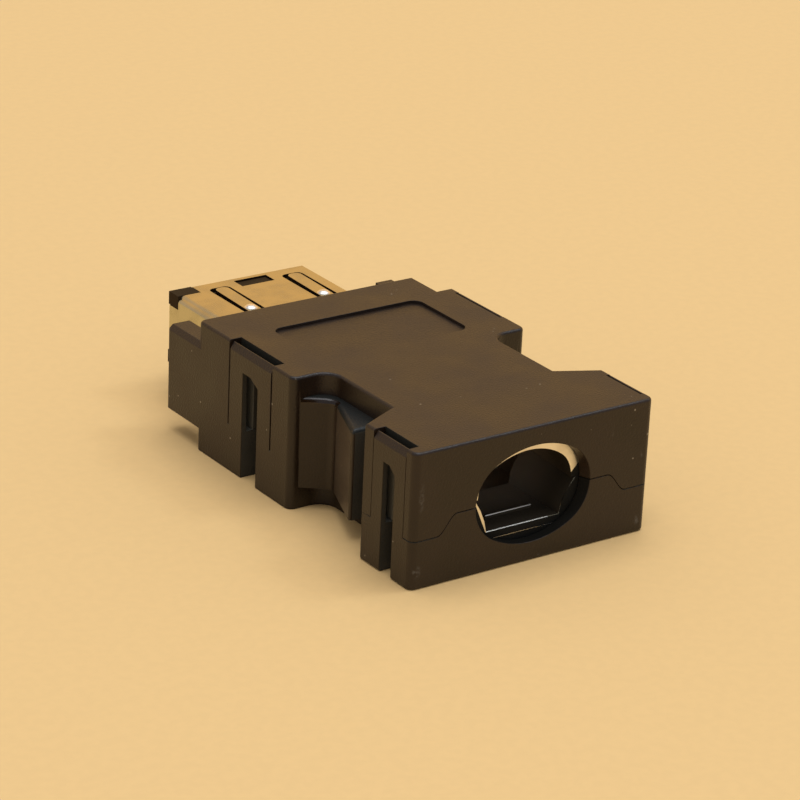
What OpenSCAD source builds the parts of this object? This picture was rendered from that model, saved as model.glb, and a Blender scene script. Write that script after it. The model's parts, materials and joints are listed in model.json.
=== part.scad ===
// Ten-way encoder cable connector.
// Two moulded covers snap together round a shielded plug. The cable enters the
// oval hole in the rear face (-Y) and the plug mates towards +Y. All sizes are in mm.
// Lengths along Y are measured from the rear face until the whole part is centred.

/* [Covers] */
// Width across the covers
body_w = 22.4; // [21.4:0.1:25]
// Height of the closed covers
body_h = 11.2; // [10.6:0.1:13]
// Length of the rear flange along its outer edge
flange_l = 6.6; // [6.4:0.1:8]
// Length of the grip recess between the flange and the front block
grip_l = 10; // [9:0.1:13]
// Length of the front block
block_l = 14; // [13:0.1:18]
// Depth of the grip recesses in each side
grip_depth = 3.5; // [3.2:0.1:3.8]
// Run of the flange's slanted flank along the length
flank_run = 1.7; // [0.8:0.1:2]
// Radius of the upright outer corners
corner_r = 0.6; // [0.3:0.1:0.9]
// Wall of the covers
wall = 1.1; // [0.8:0.1:1.3]
// Wall behind the rear face, round the cable hole
rear_wall = 0.9; // [0.7:0.1:1.2]
// Wall in front, round the plug
front_wall = 1.5; // [1:0.1:2]

/* [Grip] */
// Thickness of the plates above and below each grip
plate_t = 1.8; // [1.2:0.1:2.4]
// Radius where the plates run into the front block
plate_r = 1.5; // [0.8:0.1:2]
// Distance from the finger grip's crease to the front block
crease_back = 1.65; // [1.2:0.05:2.2]
// How far the crease stands out from the waist
crease_out = 0.55; // [0.3:0.05:0.8]
// Radius in the crease
crease_r = 0.8; // [0.4:0.1:1.2]
// How far both ends of the grip lie inside the covers' side
flare_in = 0.8; // [0.6:0.1:1.5]
// Gap between the flange's flank and the flared end
flare_gap = 1.1; // [0.6:0.1:1.5]

/* [Seam] */
// Height of the seam along the sides
side_seam = 4; // [3:0.1:4.6]
// Half width of the raised middle of the seam
seam_mid = 7.1; // [6.4:0.1:7.4]
// Width of the slope between the raised middle and the sides
seam_slope = 1.8; // [1:0.1:2]
// Gap between the closed covers
seam_gap = 0.06; // [0.02:0.01:0.12]

/* [Cable entry] */
// Width of the oval cable hole
hole_w = 10.8; // [10.2:0.1:11.4]
// Height of the oval cable hole
hole_h = 8; // [7.6:0.1:8.5]
// Radius of the oval's ends
hole_end_r = 3.5; // [3.2:0.1:3.7]

/* [Snap arms] */
// Thickness of the snap arms
arm_t = 0.45; // [0.4:0.05:0.6]
// Gap behind a rear arm
rear_gap = 0.6; // [0.4:0.05:0.7]
// Gap behind a front arm
front_gap = 0.65; // [0.4:0.05:0.7]
// Slit on each side of an arm
arm_slit = 0.15; // [0.1:0.05:0.2]
// Distance from the top face down to the arm's end
arm_drop = 0.15; // [0.1:0.05:0.5]
// Height of the chamfer on the arm's end
arm_chamfer = 0.55; // [0.3:0.05:0.6]
// Thickness of the arm at its end
arm_end = 0.15; // [0.1:0.05:0.3]
// Depth of the bar that closes an arm's window
arm_bar = 2; // [1.6:0.05:2.2]
// Height of the slanted corner of an arm's window
window_cut = 0.6; // [0.4:0.1:1]
// Wall left behind a window
window_wall = 0.4; // [0.3:0.05:0.6]
// Length of the rear notches
rear_notch_l = 4.3; // [4:0.05:4.6]
// Distance from the rear face to the rear notches
rear_notch_y = 1.15; // [0.9:0.05:1.3]
// Width of the window in a rear arm
rear_window_w = 1.5; // [1.2:0.1:2]
// Length of the front notches
front_notch_l = 6.3; // [5.5:0.1:6.6]
// Distance from the front block's rear to the front notches
front_notch_y = 2.9; // [2.5:0.1:3.4]
// Width of the window in a front arm
front_window_w = 2.2; // [2:0.1:3]
// Height of the catch teeth
tooth_h = 1.3; // [0.8:0.1:1.6]
// How far the catch teeth reach into the windows
tooth_in = 0.2; // [0.1:0.05:0.3]
// Play between a tooth and its window
tooth_play = 0.1; // [0.05:0.05:0.2]

/* [Top and front details] */
// Width of the label recess
label_w = 14.2; // [12:0.1:16]
// Length of the label recess
label_l = 6.5; // [5:0.1:8]
// Distance from the front block's rear to the label recess
label_y = 3; // [2:0.1:4]
// Depth of the label recess
label_depth = 0.25; // [0.1:0.05:0.4]
// Corner radius of the label recess
label_r = 0.9; // [0.4:0.1:1.5]
// Length of the key notch in one front corner
key_l = 3.7; // [2.5:0.1:4]
// Width of the key notch
key_w = 1.5; // [1:0.1:1.8]
// Length of the wings beside the plug
wing_l = 4.7; // [3:0.1:6]
// How much shorter the upper half of the wings is
wing_step = 0.15; // [0:0.05:0.4]
// Thickness of the wings
wing_t = 2; // [1.5:0.1:2.1]
// Height of the wings
wing_h = 7.3; // [6:0.1:8]
// Chamfer along the wings' upper edges
wing_chamfer = 0.4; // [0.2:0.1:0.6]
// Radius of the wings' outer front corners
wing_r = 0.4; // [0.2:0.1:0.8]

/* [Plug] */
// Distance from the covers' side to the plug shell, but for the shift
plug_margin = 3.55; // [3.5:0.05:4]
// Height of the plug shell
plug_h = 6.4; // [5.9:0.1:6.6]
// How far the plug stands out of the front block
plug_reach = 12.1; // [10:0.1:14]
// Sideways shift of the plug towards its tapered end
plug_shift = 1; // [0.5:0.1:1]
// Length of the plug shell inside the covers
plug_root = 6; // [5:0.1:7]
// Leg of the tapered end's corners
taper = 2.05; // [1.6:0.05:2.2]
// Sheet thickness of the shell and shields
sheet = 0.3; // [0.2:0.05:0.35]
// Outer bend radius of the shell's square corners
bend_r = 0.75; // [0.5:0.05:0.9]
// Clearance between pieces that slide together
fit_gap = 0.05; // [0.03:0.01:0.08]
// Play of the plug shell in the covers
plug_play = 0.1; // [0.05:0.05:0.2]

/* [Spring fingers] */
// Width across the slit round a spring finger
finger_w = 1.97; // [1.6:0.01:2.4]
// Length of a spring finger
finger_l = 7.6; // [6:0.1:9]
// Width of the slit
slit = 0.35; // [0.2:0.05:0.45]
// Corner radius of a spring finger's end
finger_r = 0.5; // [0.2:0.1:0.6]
// Distance from the taper's edge to the slit of the nearer finger
finger_margin = 1; // [0.6:0.1:1.5]
// Distance from the shell's front edge to the slit
finger_edge = 1.15; // [0.8:0.05:2]
// Distance from the shell's front edge to the dimple
dimple_y = 6.4; // [5:0.1:7]
// Radius of the dimple on a finger
dimple_r = 0.55; // [0.4:0.05:0.6]
// Height of the dimple
dimple_h = 0.25; // [0.15:0.05:0.35]

/* [Contact housing] */
// How far the housing's rim stands ahead of the shell
rim = 0.15; // [0.05:0.05:0.3]
// Width of the corner lug on the top
lug_w = 2.2; // [1.5:0.1:2.6]
// Height of the corner lug on the side
lug_h = 1.2; // [1:0.1:2]
// Depth of the lugs from the shell's front edge
lug_l = 1.4; // [1:0.1:1.8]
// Distance from a spring finger's slit to the middle lug
mid_lug_gap = 1.03; // [0.6:0.01:1.4]
// Strip of the shell in front of the middle lug
mid_lug_in = 0.45; // [0.3:0.05:0.8]
// Length of the housing behind the plug shell
housing_tail = 2.5; // [1.5:0.1:3]
// Width of the mating slot
slot_w = 10.8; // [10.2:0.1:11]
// Height of the mating slot
slot_h = 2.3; // [2:0.1:2.6]
// Depth of the mating slot
slot_l = 9; // [7:0.1:11]

/* [Contacts] */
// Spacing of the contacts
pitch = 2; // [1.9:0.05:2.1]
// Width of a contact
contact_w = 1; // [0.8:0.05:1.2]
// Thickness of a contact
contact_t = 0.3; // [0.2:0.05:0.35]
// How deep a contact lies in its groove
contact_sink = 0.15; // [0.05:0.05:0.3]
// Room behind a contact to flex
flex_room = 0.35; // [0.2:0.05:0.5]
// Run of each half of a contact's bow
bow_run = 1.4; // [1:0.1:2]
// How far a contact bows into the slot
contact_bow = 0.35; // [0.2:0.05:0.5]
// Distance from the housing's front to a contact's tip
contact_tip = 1.2; // [0.8:0.1:2]
// Length of the solder cups behind the housing
cup_l = 3; // [2:0.1:3.5]
// Outer radius of the solder cups
cup_r = 0.65; // [0.55:0.05:0.75]
// Wall of the solder cups
cup_wall = 0.2; // [0.15:0.05:0.3]

/* [Shields] */
// Half width of the arch at the cable entry
arch_w = 4.7; // [4.5:0.1:5]
// Height of the arch above the seam
arch_h = 3.2; // [2.8:0.1:3.5]
// Half width of the trough's floor
trough_w = 3.2; // [3:0.1:4]
// Depth of the trough below the seam
trough_h = 2.6; // [2.4:0.1:3]
// Radius of the arch's feet
arch_end_r = 2.6; // [2.2:0.1:2.7]
// Length of the arch and the trough
throat_l = 6.5; // [5:0.1:7.5]
// Height of the lip under the trough's floor
lip_h = 0.9; // [0.5:0.1:1.1]
// Width of the cable ridge across the trough
ridge_w = 4.4; // [3:0.1:6]
// Height of the cable ridge
ridge_h = 0.25; // [0.2:0.05:0.6]
// Distance from the trough's rear edge to the cable ridge
ridge_y = 2; // [1:0.1:4]
// Clearance round the shields in the covers
shield_play = 0.1; // [0.05:0.05:0.2]

/* [Hidden] */
$fn = 48;
rows = 5;

// Main stations along the length
block_y = flange_l + grip_l;
body_l = block_y + block_l;
overall_l = body_l + plug_reach;
shell_front = overall_l - rim;
shell_rear = body_l - plug_root;
housing_rear = shell_rear - housing_tail;

// Main planes
side_x = body_w / 2;
waist_x = side_x - grip_depth;
mid_z = body_h / 2;
wing_z = mid_z - wing_h / 2;
wing_x = side_x - wing_t;

// Plug shell, the middle of each spring finger from the plug's middle, and the lug between them
plug_w = body_w - 2 * plug_margin;
finger_x = plug_w / 2 - taper - finger_margin - finger_w / 2;
mid_lug_w = 2 * (finger_x - finger_w / 2 - mid_lug_gap);

// Snap arms: place along the length, notch length, window width and pocket floor of each pair
arm_x = side_x - arm_t;
arm_top = body_h - arm_drop;
window_top = arm_top - arm_bar;
arms = [
    [rear_notch_y, rear_notch_l, rear_window_w, arm_x - rear_gap],
    [block_y + front_notch_y, front_notch_l, front_window_w, arm_x - front_gap]
];

// Hollow inside the covers
wide_x = arm_x - max(rear_gap, front_gap) - wall;
slot_x = wide_x + window_wall;
narrow_x = waist_x - wall;
hollow_h = body_h - 2 * wall;
lap_x = waist_x - wall / 2;
rise_end = block_y + block_l - front_wall;
rise_start = rise_end - seam_slope;
seam_steps = 8;

// Grip
flare_y = flange_l + flank_run + flare_gap;
flare_x = side_x - flare_in;
crease = [waist_x + crease_out, block_y - crease_back];

// Shields
throat_y = rear_wall + shield_play;
throat_end = throat_y + throat_l;
box_x = narrow_x - shield_play;
step_y = block_y + 2 * wall;
shield_front = body_l - front_wall - shield_play;
wrap = fit_gap + sheet;
half_h = mid_z - wall - shield_play;
wrap_h = plug_h / 2 + wrap;
wrap_left = plug_shift - plug_w / 2 - wrap;
wrap_right = plug_shift + plug_w / 2 + wrap;

// Contacts
contact_z = slot_h / 2 + contact_sink;
tip_y = overall_l - contact_tip;
tail_y = housing_rear - cup_l;

plastic = "#2b2621";
nickel = "#c9c2b4";
insulator = "#1f1c1a";
gold = "#d6a94a";

// The children and their mirror image on the other side.
module both_sides() {
    children();
    mirror([1, 0, 0]) children();
}

// The children, and again upside down about the plug's middle plane.
module both_faces() {
    children();
    mirror([0, 0, 1]) children();
}

// A flat outline in X and Z, drawn out along Y.
module along_y(y0, y1) {
    translate([0, y1, 0]) rotate([90, 0, 0]) linear_extrude(y1 - y0) children();
}

// A flat outline in Y and Z, drawn out along X.
module along_x(x0, x1) {
    translate([x0, 0, 0]) rotate([90, 0, 90]) linear_extrude(x1 - x0) children();
}

// Moves the children to the plug's own middle.
module at_plug() {
    translate([plug_shift, 0, mid_z]) children();
}

// Centres the whole length on the origin.
module placed() {
    translate([0, -overall_l / 2, 0]) children();
}

// A rectangle with round corners, its lower left corner at the origin.
module rounded_rect(size, r) {
    translate([r, 0]) square([size.x - 2 * r, size.y]);
    translate([0, r]) square([size.x, size.y - 2 * r]);
    for (x = [r, size.x - r], y = [r, size.y - r])
        translate([x, y]) circle(r);
}

// An oval of four arcs that meet smoothly.
module oval(w, h, end_r) {
    a = w / 2;
    b = h / 2;
    big_r = ((a - end_r) ^ 2 + b ^ 2 - end_r ^ 2) / (2 * (b - end_r));
    meet_x = (a - end_r) * big_r / (big_r - end_r);
    intersection() {
        translate([0, big_r - b]) circle(big_r, $fn = 96);
        translate([0, b - big_r]) circle(big_r, $fn = 96);
        translate([-meet_x, -b]) square([2 * meet_x, h]);
    }
    for (x = [end_r - a, a - end_r]) translate([x, 0]) circle(end_r);
}

// Plan of the full-height body: rear flange, waist and front block.
module body_outline() {
    translate([-side_x, 0]) rounded_rect([body_w, flange_l], corner_r);
    polygon([
        [-side_x, flange_l / 2], [side_x, flange_l / 2], [side_x, flange_l],
        [waist_x, flange_l + flank_run], [-waist_x, flange_l + flank_run], [-side_x, flange_l]
    ]);
    translate([-waist_x, flange_l]) square([2 * waist_x, grip_l + corner_r]);
    translate([-side_x, block_y]) rounded_rect([body_w, block_l], corner_r);
}

// Plan of the round that joins a plate to the front block.
module plate_round() {
    difference() {
        translate([waist_x - wall / 2, block_y - plate_r]) square([plate_r + wall / 2, plate_r + wall / 2]);
        translate([waist_x + plate_r, block_y - plate_r]) circle(plate_r);
    }
}

// Plan of a finger grip: two flat faces that meet in a rounded crease.
module grip_outline() {
    to_block = [flare_x, block_y] - crease;
    to_flare = [flare_x, flare_y] - crease;
    ahead = to_block / norm(to_block);
    behind = to_flare / norm(to_flare);
    half = acos(ahead * behind) / 2;
    reach = crease_r / tan(half);
    centre = crease + (ahead + behind) / norm(ahead + behind) * crease_r / sin(half);
    difference() {
        polygon([
            [lap_x, flare_y], [flare_x, flare_y], crease + reach * behind, centre, crease + reach * ahead,
            [flare_x, block_y], [flare_x, block_y + wall / 2], [lap_x, block_y + wall / 2]
        ]);
        translate(centre) circle(crease_r);
    }
}

// A wing beside the plug, chamfered along its upper outer edge.
module wing() {
    intersection() {
        along_y(body_l - wall, body_l + wing_l) polygon([
            [wing_x, wing_z], [side_x, wing_z], [side_x, wing_z + wing_h - wing_chamfer],
            [side_x - wing_chamfer, wing_z + wing_h], [wing_x, wing_z + wing_h]
        ]);
        linear_extrude(body_h) translate([wing_x - wing_r, body_l - wall - wing_r])
            rounded_rect([wing_t + wing_r, wing_l + wall + wing_r], wing_r);
    }
}

// Both covers together, as one solid body.
module covers_outside() {
    linear_extrude(body_h) body_outline();
    for (z = [0, body_h - plate_t])
        translate([0, 0, z]) linear_extrude(plate_t) both_sides() plate_round();
    translate([0, 0, plate_t]) linear_extrude(body_h - 2 * plate_t) both_sides() grip_outline();
    both_sides() wing();
}

// All that is hollow inside the covers, with the cable hole and the plug's opening.
module covers_inside() {
    translate([-wide_x, rear_wall, wall])
        cube([2 * wide_x, flange_l + flank_run - rear_wall - 2 * wall, hollow_h]);
    translate([-narrow_x, rear_wall, wall]) cube([2 * narrow_x, block_y + 2 * wall - rear_wall, hollow_h]);
    translate([-wide_x, block_y + wall, wall])
        cube([2 * wide_x, block_l - wall - front_wall, hollow_h]);
    translate([0, 0, mid_z]) along_y(-wall, 2 * rear_wall) oval(hole_w, hole_h, hole_end_r);
    at_plug() along_y(body_l - 2 * front_wall, body_l + wall) plug_section(plug_play);
}

// Height of a smooth step at a share t of its length.
function s_curve(t) = (1 - cos(180 * t)) / 2;

// All that lies under the seam, lifted by the given height. The seam is raised in
// the middle and at the wings, and laps down behind the finger grips.
module under_seam(lift) {
    side_z = side_seam + lift;
    top_z = mid_z + lift;
    slope = [for (t = [0 : 1 / seam_steps : 1])
        [seam_mid + seam_slope * t, top_z - (top_z - side_z) * s_curve(t)]];
    difference() {
        along_y(-wall, overall_l) polygon(concat(
            [[-body_w, side_z], [-body_w, -wall], [body_w, -wall], [body_w, side_z]],
            [for (n = [seam_steps : -1 : 0]) slope[n]],
            [for (n = [0 : seam_steps]) [-slope[n].x, slope[n].y]]
        ));
        both_sides() translate([lap_x, flange_l + flank_run, plate_t + lift])
            cube([body_w, grip_l - flank_run, body_h]);
    }
    along_x(-body_w, body_w) polygon(concat(
        [[overall_l, top_z], [overall_l, -wall], [rise_start, -wall]],
        [for (t = [0 : 1 / seam_steps : 1])
            [rise_start + seam_slope * t, side_z + (top_z - side_z) * s_curve(t)]]
    ));
}

// One snap arm, its end chamfered on the outside.
module snap_arm(y, length) {
    along_y(y + arm_slit, y + length - arm_slit) polygon([
        [arm_x, side_seam - wall], [side_x, side_seam - wall], [side_x, arm_top - arm_chamfer],
        [arm_x + arm_end, arm_top], [arm_x, arm_top]
    ]);
}

// The window of a snap arm, open at the bottom, with one upper corner cut off.
module arm_window(y, length, width) {
    start = y + (length - width) / 2;
    along_x(slot_x, side_x + wall) polygon([
        [start, -wall], [start + width, -wall], [start + width, window_top],
        [start + width / 2, window_top], [start, window_top - window_cut]
    ]);
}

// The catch tooth that holds a snap arm's bar.
module catch_tooth(y, length, width) {
    start = y + (length - width) / 2;
    root_x = slot_x - window_wall / 2;
    top_z = window_top - tooth_play;
    along_y(start + width / 2 + tooth_play, start + width - tooth_play) polygon([
        [root_x, top_z], [arm_x + tooth_in, top_z], [slot_x, top_z - tooth_h], [root_x, top_z - tooth_h]
    ]);
}

module upper_cover() {
    color(plastic) {
        difference() {
            covers_outside();
            covers_inside();
            under_seam(seam_gap / 2);
            for (arm = arms) both_sides() {
                translate([arm[3], arm[0], side_seam - seam_gap]) cube([body_w, arm[1], body_h]);
                arm_window(arm[0], arm[1], arm[2]);
            }
            translate([-label_w / 2, block_y + label_y, body_h - label_depth])
                linear_extrude(body_h) rounded_rect([label_w, label_l], label_r);
            translate([side_x - key_w, body_l - key_l, wing_z + wing_h]) cube([body_w, body_w, body_h]);
            translate([-body_w, body_l + wing_l - wing_step, 0]) cube([2 * body_w, body_w, body_h]);
        }
        for (arm = arms) both_sides() catch_tooth(arm[0], arm[1], arm[2]);
    }
}

module lower_cover() {
    color(plastic) difference() {
        union() {
            intersection() {
                covers_outside();
                under_seam(-seam_gap / 2);
            }
            for (arm = arms) both_sides() snap_arm(arm[0], arm[1]);
        }
        covers_inside();
        for (arm = arms) both_sides() arm_window(arm[0], arm[1], arm[2]);
    }
}

// Section of the plug, larger all round by grow: two bent corners and a tapered end.
module plug_section(grow) {
    right = plug_w / 2 + grow;
    top = plug_h / 2 + grow;
    leg = taper + grow * (2 - sqrt(2));
    r = bend_r + grow;
    polygon([
        [r - right, -top], [right - leg, -top], [right, leg - top], [right, top - leg],
        [right - leg, top], [r - right, top], [-right, top - r], [-right, r - top]
    ]);
    for (z = [r - top, top - r]) translate([r - right, z]) circle(r);
}

// The room that the lugs take in the shell, less a clearance: a notch in one corner of
// the front edge, and a window behind the middle of that edge.
module lug_room(clear) {
    low = plug_h / 2 - lug_h + clear;
    translate([-plug_w / 2, shell_front - lug_l + clear, low])
        cube([lug_w - clear, lug_l - clear + rim, lug_h - clear]);
    translate([clear - mid_lug_w / 2, shell_front - mid_lug_in - lug_l + clear, low])
        cube([mid_lug_w - 2 * clear, lug_l - 2 * clear, lug_h - clear]);
}

// The slit round a spring finger, its free end at the origin and its root towards -Y.
module finger_slit() {
    outer = [finger_w, finger_l + 2 * finger_r];
    inner = [finger_w - 2 * slit, finger_l + 2 * finger_r - slit];
    intersection() {
        difference() {
            translate([-finger_w / 2, -outer.y]) rounded_rect(outer, finger_r);
            translate([slit - finger_w / 2, -outer.y]) rounded_rect(inner, finger_r);
        }
        translate([-finger_w / 2, -finger_l]) square([finger_w, finger_l]);
    }
}

module plug_shell() {
    dome_r = (dimple_r ^ 2 + dimple_h ^ 2) / (2 * dimple_h);
    color(nickel) at_plug() difference() {
        union() {
            along_y(shell_rear, shell_front) plug_section(0);
            both_faces() for (x = [-finger_x, finger_x])
                translate([x, shell_front - dimple_y, plug_h / 2 + dimple_h - dome_r]) sphere(dome_r);
        }
        along_y(shell_rear - sheet, shell_front + sheet) plug_section(-sheet);
        both_faces() {
            lug_room(0);
            for (x = [-finger_x, finger_x]) {
                translate([x, shell_front - finger_edge, plug_h / 2 - 2 * sheet])
                    linear_extrude(3 * sheet) finger_slit();
                translate([x, shell_front - dimple_y, plug_h / 2 + dimple_h - dome_r]) sphere(dome_r - sheet);
            }
        }
    }
}

// The groove that holds a contact, above the slot.
module contact_groove() {
    translate([-contact_w / 2 - fit_gap, overall_l - slot_l, 0])
        cube([contact_w + 2 * fit_gap, slot_l - contact_tip / 2, contact_z + contact_t + flex_room]);
    translate([-contact_w / 2 - fit_gap, housing_rear - fit_gap, contact_z - fit_gap])
        cube([contact_w + 2 * fit_gap, overall_l - slot_l - housing_rear + 2 * fit_gap, contact_t + 2 * fit_gap]);
}

module contact_housing() {
    color(insulator) at_plug() difference() {
        union() {
            along_y(housing_rear, overall_l) plug_section(-sheet - fit_gap);
            both_faces() lug_room(fit_gap);
        }
        along_y(overall_l - slot_l, overall_l + rim) square([slot_w, slot_h], center = true);
        both_faces() for (n = [1 : rows])
            translate([(n - (rows + 1) / 2) * pitch, 0, 0]) contact_groove();
    }
}

// One contact of the upper row: a bowed blade with a solder cup behind the housing.
module contact(n) {
    low = contact_z;
    high = contact_z + contact_t;
    dip = contact_bow + contact_z - slot_h / 2;
    translate([(n - (rows + 1) / 2) * pitch, 0, 0]) {
        along_x(-contact_w / 2, contact_w / 2) polygon([
            [tail_y, low], [tip_y - 2 * bow_run, low], [tip_y - bow_run, low - dip], [tip_y, low],
            [tip_y, high], [tip_y - bow_run, high - dip], [tip_y - 2 * bow_run, high], [tail_y, high]
        ]);
        translate([0, 0, low + cup_r]) along_y(tail_y, housing_rear - fit_gap) difference() {
            circle(cup_r);
            circle(cup_r - cup_wall);
            translate([-cup_r, 0]) square([2 * cup_r, cup_r]);
        }
    }
}

module contact_upper(n) {
    color(gold) at_plug() contact(n);
}

module contact_lower(n) {
    color(gold) at_plug() mirror([0, 0, 1]) contact(n);
}

// The shield modules below stand on the seam, and the lower shield is their mirror image.

// Section of the arch over the cable, larger all round by grow.
module arch_section(grow) {
    oval(2 * (arch_w + grow), 2 * (arch_h + grow), arch_end_r + grow);
}

// Section of the trough under the cable, larger all round by grow.
module trough_section(grow) {
    polygon([
        [-arch_w - grow, 0], [arch_w + grow, 0],
        [trough_w + grow, trough_h + grow], [-trough_w - grow, trough_h + grow]
    ]);
}

// Outside of a shield: a narrow box in the waist and a wide one round the plug.
module shield_outside() {
    translate([-box_x, throat_end - sheet, 0])
        cube([2 * box_x, step_y - throat_end + 2 * sheet, half_h]);
    translate([wrap_left, step_y, 0])
        cube([wrap_right - wrap_left, shield_front - step_y, wrap_h]);
}

// Inside of a shield, one sheet thickness smaller and open towards the plug.
module shield_inside() {
    inner_x = box_x - sheet;
    translate([-inner_x, throat_end, -sheet])
        cube([2 * inner_x, step_y - throat_end, half_h]);
    translate([-inner_x, throat_end, -sheet])
        cube([2 * inner_x, step_y - throat_end + 2 * sheet, wrap_h]);
    translate([wrap_left + sheet, step_y + sheet, -sheet])
        cube([wrap_right - wrap_left - 2 * sheet, shield_front - step_y, wrap_h]);
}

// The end plate of a shield, behind the cable hole.
module end_plate(height) {
    along_y(throat_y, throat_y + sheet) translate([-box_x, 0]) square([2 * box_x, height]);
}

// Trims what lies below the seam, with half its gap.
module seam_trim() {
    translate([-body_w, 0, -body_h]) cube([2 * body_w, overall_l, body_h + seam_gap / 2]);
}

module upper_shield() {
    color(nickel) translate([0, 0, mid_z]) difference() {
        union() {
            shield_outside();
            along_y(throat_y, throat_end) arch_section(sheet);
            end_plate(half_h);
        }
        shield_inside();
        along_y(throat_y - sheet, throat_end + sheet) arch_section(0);
        seam_trim();
    }
}

module lower_shield() {
    color(nickel) translate([0, 0, mid_z]) mirror([0, 0, 1]) difference() {
        union() {
            difference() {
                union() {
                    shield_outside();
                    along_y(throat_y, throat_end) trough_section(sheet);
                    end_plate(trough_h + lip_h);
                }
                shield_inside();
                along_y(throat_y - sheet, throat_end + sheet) trough_section(0);
            }
            translate([-ridge_w / 2, throat_y + ridge_y, trough_h - ridge_h])
                cube([ridge_w, sheet, ridge_h + sheet]);
        }
        seam_trim();
    }
}

placed() upper_cover();
placed() lower_cover();
placed() plug_shell();
placed() upper_shield();
placed() lower_shield();
placed() contact_housing();
for (n = [1 : rows]) {
    placed() contact_upper(n);
    placed() contact_lower(n);
}
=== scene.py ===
"""Dressed model of a ten-way encoder cable connector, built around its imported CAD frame.

Every CAD solid is copied, its edges are broken as the mould or the press leaves them, and it gets a
procedural finish on Object coordinates. A warm pale floor and a soft overhead light make the stage.
The pieces' sizes are in mm in the frame of their source, where Y counts from the rear face.
"""

import json
import logging
import math
from dataclasses import dataclass, field
from enum import Enum

import bmesh
import bpy
from mathutils import Matrix, Vector

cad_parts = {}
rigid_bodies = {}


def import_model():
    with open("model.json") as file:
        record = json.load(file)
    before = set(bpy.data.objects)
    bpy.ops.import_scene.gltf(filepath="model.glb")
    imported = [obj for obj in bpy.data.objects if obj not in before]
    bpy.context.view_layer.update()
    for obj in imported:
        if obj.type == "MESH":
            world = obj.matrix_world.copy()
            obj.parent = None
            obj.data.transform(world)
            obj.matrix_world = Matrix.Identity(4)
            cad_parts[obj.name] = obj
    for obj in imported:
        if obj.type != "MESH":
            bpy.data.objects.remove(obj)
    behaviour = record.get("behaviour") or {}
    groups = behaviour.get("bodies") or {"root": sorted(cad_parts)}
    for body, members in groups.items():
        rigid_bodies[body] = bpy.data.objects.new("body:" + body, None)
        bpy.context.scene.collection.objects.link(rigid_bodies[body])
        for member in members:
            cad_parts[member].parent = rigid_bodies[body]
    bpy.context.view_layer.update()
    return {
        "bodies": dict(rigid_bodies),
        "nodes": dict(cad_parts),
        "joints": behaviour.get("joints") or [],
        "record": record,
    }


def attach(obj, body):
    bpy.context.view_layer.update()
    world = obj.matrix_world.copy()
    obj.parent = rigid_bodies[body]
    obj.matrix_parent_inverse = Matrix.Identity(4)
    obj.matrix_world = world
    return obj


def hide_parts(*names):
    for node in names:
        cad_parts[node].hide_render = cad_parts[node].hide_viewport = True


LOG = logging.getLogger("encoder_connector")
MM = 0.001
BODY = "root"
# Distance from the rear face to the frame's origin, in mm
HALF_LENGTH = 21.35
# Points closer than this count as one place, in mm
NEAR = 0.02

Colour = tuple[float, float, float]
Point = tuple[float, float, float]
Span = tuple[float, float]
# A point on the plane and the plane's normal
Plane = tuple[Vector, Vector]
Socket = bpy.types.NodeSocket
# Patterns and plain values for a shader, by the names of its inputs
Inputs = dict[str, "Socket | float"]
Edge = bmesh.types.BMEdge
Face = bmesh.types.BMFace


class Slot(Enum):
    """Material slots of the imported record."""

    COVER = "cover_plastic"
    PLUG = "plug_metal"
    SHIELD = "shield_metal"
    INSULATOR = "insulator_plastic"
    CONTACT = "contact_metal"


class Axis(Enum):
    """Axes along which a finish may fade."""

    Y = "Y"
    Z = "Z"


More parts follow.
